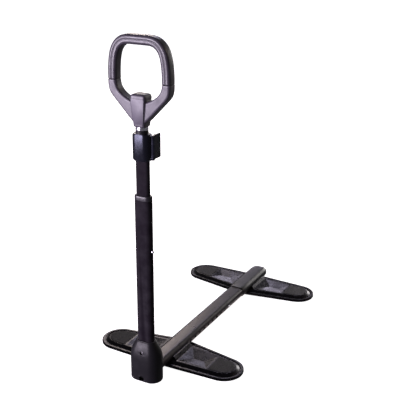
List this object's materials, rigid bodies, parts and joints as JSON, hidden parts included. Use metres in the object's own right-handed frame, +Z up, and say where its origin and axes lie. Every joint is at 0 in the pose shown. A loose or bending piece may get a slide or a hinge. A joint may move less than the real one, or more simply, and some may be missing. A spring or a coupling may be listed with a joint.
{
  "type": "adjustable stand-up support handle",
  "caption": "Free-standing support handle: loop grip on a telescoping flat-sided post, on a telescoping floor bar with wide cross feet that go under a couch or chair.",
  "frame": {"origin": "on the floor, at the middle of the bounding box's underside", "axes": "+X along the cross feet, +Y along the floor bar away from the post, +Z up"},
  "size_m": [0.3966, 0.68, 0.8118],
  "materials": {
    "tube_paint": "satin black powder coat",
    "base_plastic": "fine-grained, satin, near black",
    "handle_plastic": "fine-grained matte, dark grey",
    "grip_plastic": "smooth matte, dark grey",
    "gloss_clamp": "glossy black",
    "bushing_plastic": "smooth satin black",
    "pad_rubber": "fine pebbled, matte",
    "sole_rubber": "ribbed, matte",
    "satin_steel": "satin, turned",
    "steel": "plain zinc, satin"
  },
  "bodies": {
    "base": {"boot_shell": "base_plastic", "post_socket": "steel", "boot_screw": "steel", "outer_post_tube": "tube_paint", "post_bushing": "bushing_plastic", "outer_bar_tube": "tube_paint", "outer_bar_plug": "bushing_plastic", "front_foot_plate": "base_plastic", "front_grip_pad_right": "pad_rubber", "front_sole_right": "sole_rubber", "front_bar_cheek_right": "base_plastic", "front_cheek_screw_right": "steel", "front_grip_pad_left": "pad_rubber", "front_sole_left": "sole_rubber", "front_bar_cheek_left": "base_plastic", "front_cheek_screw_left": "steel", "front_bar_bolt": "steel"},
    "rear_base": {"inner_bar_tube": "tube_paint", "inner_bar_plug": "bushing_plastic", "bar_spring": "steel", "rear_sleeve": "base_plastic", "rear_foot_plate": "base_plastic", "rear_grip_pad_right": "pad_rubber", "rear_sole_right": "sole_rubber", "rear_bar_cheek_right": "base_plastic", "rear_cheek_screw_right": "steel", "rear_grip_pad_left": "pad_rubber", "rear_sole_left": "sole_rubber", "rear_bar_cheek_left": "base_plastic", "rear_cheek_screw_left": "steel"},
    "bar_button": {"bar_button": "steel"},
    "stem": {"inner_post_tube": "tube_paint", "post_glide": "bushing_plastic", "post_spring": "steel", "post_top_plug": "bushing_plastic", "swivel_bolt": "steel", "collar": "gloss_clamp", "lever_pin": "steel"},
    "post_button_right": {"post_button_right": "steel"},
    "post_button_left": {"post_button_left": "steel"},
    "clamp_lever": {"clamp_lever": "gloss_clamp"},
    "handle": {"neck_spigot": "satin_steel", "handle_yoke": "handle_plastic", "hub_cover": "handle_plastic", "hub_screw": "steel", "grip_core": "steel", "grip_sleeve": "grip_plastic"}
  },
  "joints": [
    {"name": "base_length", "type": "slide", "parent": "base", "child": "rear_base", "axis": [0, 1, 0], "range_m": [-0.144, 0]},
    {"name": "bar_button_press", "type": "slide", "parent": "rear_base", "child": "bar_button", "axis": [-1, 0, 0], "range_m": [0, 0.005], "stiffness_N_per_m": 900, "springref_m": -0.001, "deforming": ["bar_spring"]},
    {"name": "height_adjust", "type": "slide", "parent": "base", "child": "stem", "axis": [0, 0, 1], "range_m": [-0.045, 0], "deforming": ["post_button_right", "post_button_left"]},
    {"name": "post_button_right_press", "type": "slide", "parent": "stem", "child": "post_button_right", "axis": [-1, 0, 0], "range_m": [0, 0.005], "stiffness_N_per_m": 900, "springref_m": -0.001, "deforming": ["post_spring"]},
    {"name": "post_button_left_press", "type": "slide", "parent": "stem", "child": "post_button_left", "axis": [1, 0, 0], "range_m": [0, 0.005], "stiffness_N_per_m": 900, "springref_m": -0.001, "deforming": ["post_spring"]},
    {"name": "lever_hinge", "type": "hinge", "parent": "stem", "child": "clamp_lever", "pos_m": [0.0246, -0.3116, 0.575], "axis": [0, 0, -1], "range_deg": [0, 100]},
    {"name": "handle_swivel", "type": "hinge", "parent": "stem", "child": "handle", "pos_m": [0, -0.3146, 0.65], "axis": [0, 0, 1], "range_deg": [-90, 90]}
  ]
}
